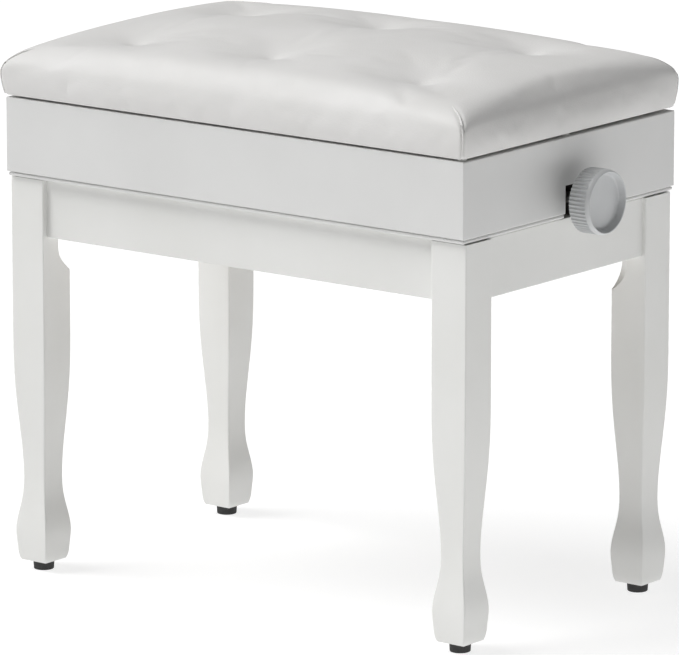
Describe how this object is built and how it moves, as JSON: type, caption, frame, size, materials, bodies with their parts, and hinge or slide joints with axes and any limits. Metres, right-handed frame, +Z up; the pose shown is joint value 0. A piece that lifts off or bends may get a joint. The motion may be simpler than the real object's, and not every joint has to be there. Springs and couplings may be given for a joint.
{
  "type": "height-adjustable piano bench",
  "caption": "Padded piano bench with turned square legs, a lift-up cushion over a shallow music tray, and side knobs that raise the seat on a scissor lift.",
  "frame": {"origin": "on the floor under the middle of the bench", "axes": "+X along the length, -Y to the front, +Z up"},
  "size_m": [0.6, 0.3238, 0.502],
  "materials": {
    "white_lacquer": "satin white lacquer on hardwood",
    "raw_pine": "planed softwood, unfinished",
    "tray_board": "painted fibreboard",
    "plywood": "bare plywood",
    "black_rubber": "moulded matt rubber",
    "clear_bumper": "soft translucent pad",
    "knob_plastic": "moulded, satin gloss",
    "nylon": "natural nylon",
    "foam": "polyurethane foam",
    "faux_leather": "soft coated fabric, satin",
    "bright_steel": "turned bright steel",
    "zinc_steel": "zinc plated",
    "black_steel": "black powder coat"
  },
  "bodies": {
    "base": {"apron_front": "white_lacquer", "apron_left": "white_lacquer", "apron_rear": "white_lacquer", "apron_right": "white_lacquer", "batten_left": "raw_pine", "batten_right": "raw_pine", "bearing_plate_left": "black_steel", "bearing_plate_right": "black_steel", "bearing_plate_screws": "zinc_steel", "bolt_washers": "zinc_steel", "bracket_screws": "zinc_steel", "corner_brackets": "zinc_steel", "fixed_pivot_shafts": "bright_steel", "foot_studs": "zinc_steel", "hanger_bolts": "zinc_steel", "leg_front_left": "white_lacquer", "leg_front_right": "white_lacquer", "leg_rear_left": "white_lacquer", "leg_rear_right": "white_lacquer", "lower_rail_front": "black_steel", "lower_rail_rear": "black_steel", "lower_rail_screws": "zinc_steel", "rubber_foot_front_left": "black_rubber", "rubber_foot_front_right": "black_rubber", "rubber_foot_rear_left": "black_rubber", "rubber_foot_rear_right": "black_rubber", "shaft_bushings": "nylon", "thrust_block": "black_steel", "wing_nuts": "zinc_steel"},
    "seat": {"box_front": "white_lacquer", "box_left": "white_lacquer", "box_rear": "white_lacquer", "box_right": "white_lacquer", "hinge_leaf_box": "zinc_steel", "hinge_pin": "bright_steel", "lid_bumpers": "clear_bumper", "long_cleats": "raw_pine", "short_cleats": "raw_pine", "tray_floor": "tray_board", "upper_pivot_pins": "bright_steel", "upper_rail_front": "black_steel", "upper_rail_rear": "black_steel", "upper_rail_screws": "zinc_steel"},
    "lid": {"lid_board": "plywood", "cushion_foam": "foam", "cushion_cover": "faux_leather", "hinge_leaf_lid": "zinc_steel"},
    "screw": {"lead_screw": "bright_steel", "knob_left": "knob_plastic", "knob_right": "knob_plastic", "thrust_collars": "zinc_steel"},
    "nut": {"nut_bar": "black_steel"},
    "outer_arms": {"outer_arm_front": "black_steel", "outer_arm_rear": "black_steel", "outer_arm_pins": "bright_steel", "scissor_rivets": "bright_steel"},
    "inner_arms": {"inner_arm_front": "black_steel", "inner_arm_rear": "black_steel", "inner_arm_pins": "bright_steel"}
  },
  "joints": [
    {"name": "seat_lift", "type": "slide", "parent": "base", "child": "seat", "axis": [0, 0, 1], "range_m": [0, 0.075]},
    {"name": "lid_hinge", "type": "hinge", "parent": "seat", "child": "lid", "pos_m": [0, 0.1603, 0.445], "axis": [-1, 0, 0], "range_deg": [0, 85]},
    {"name": "knob_turn", "type": "hinge", "parent": "base", "child": "screw", "pos_m": [0, 0, 0.389], "axis": [1, 0, 0], "range_deg": [0, 3448]},
    {"name": "nut_slide", "type": "slide", "parent": "base", "child": "nut", "axis": [1, 0, 0], "range_m": [-0.0145, 0]},
    {"name": "outer_arm_pivot", "type": "hinge", "parent": "base", "child": "outer_arms", "pos_m": [-0.14, 0, 0.389], "axis": [0, -1, 0], "range_deg": [0, 15.7]},
    {"name": "inner_arm_pivot", "type": "hinge", "parent": "seat", "child": "inner_arms", "pos_m": [-0.14, 0, 0.40365], "axis": [0, 1, 0], "range_deg": [0, 15.7]}
  ],
  "couplings": [
    {"joint": "knob_turn", "follows": "seat_lift", "rad_per_m": 801.88},
    {"joint": "nut_slide", "follows": "seat_lift", "ratio": -0.19143},
    {"joint": "outer_arm_pivot", "follows": "seat_lift", "rad_per_m": 3.6476},
    {"joint": "inner_arm_pivot", "follows": "seat_lift", "rad_per_m": 3.6476}
  ]
}
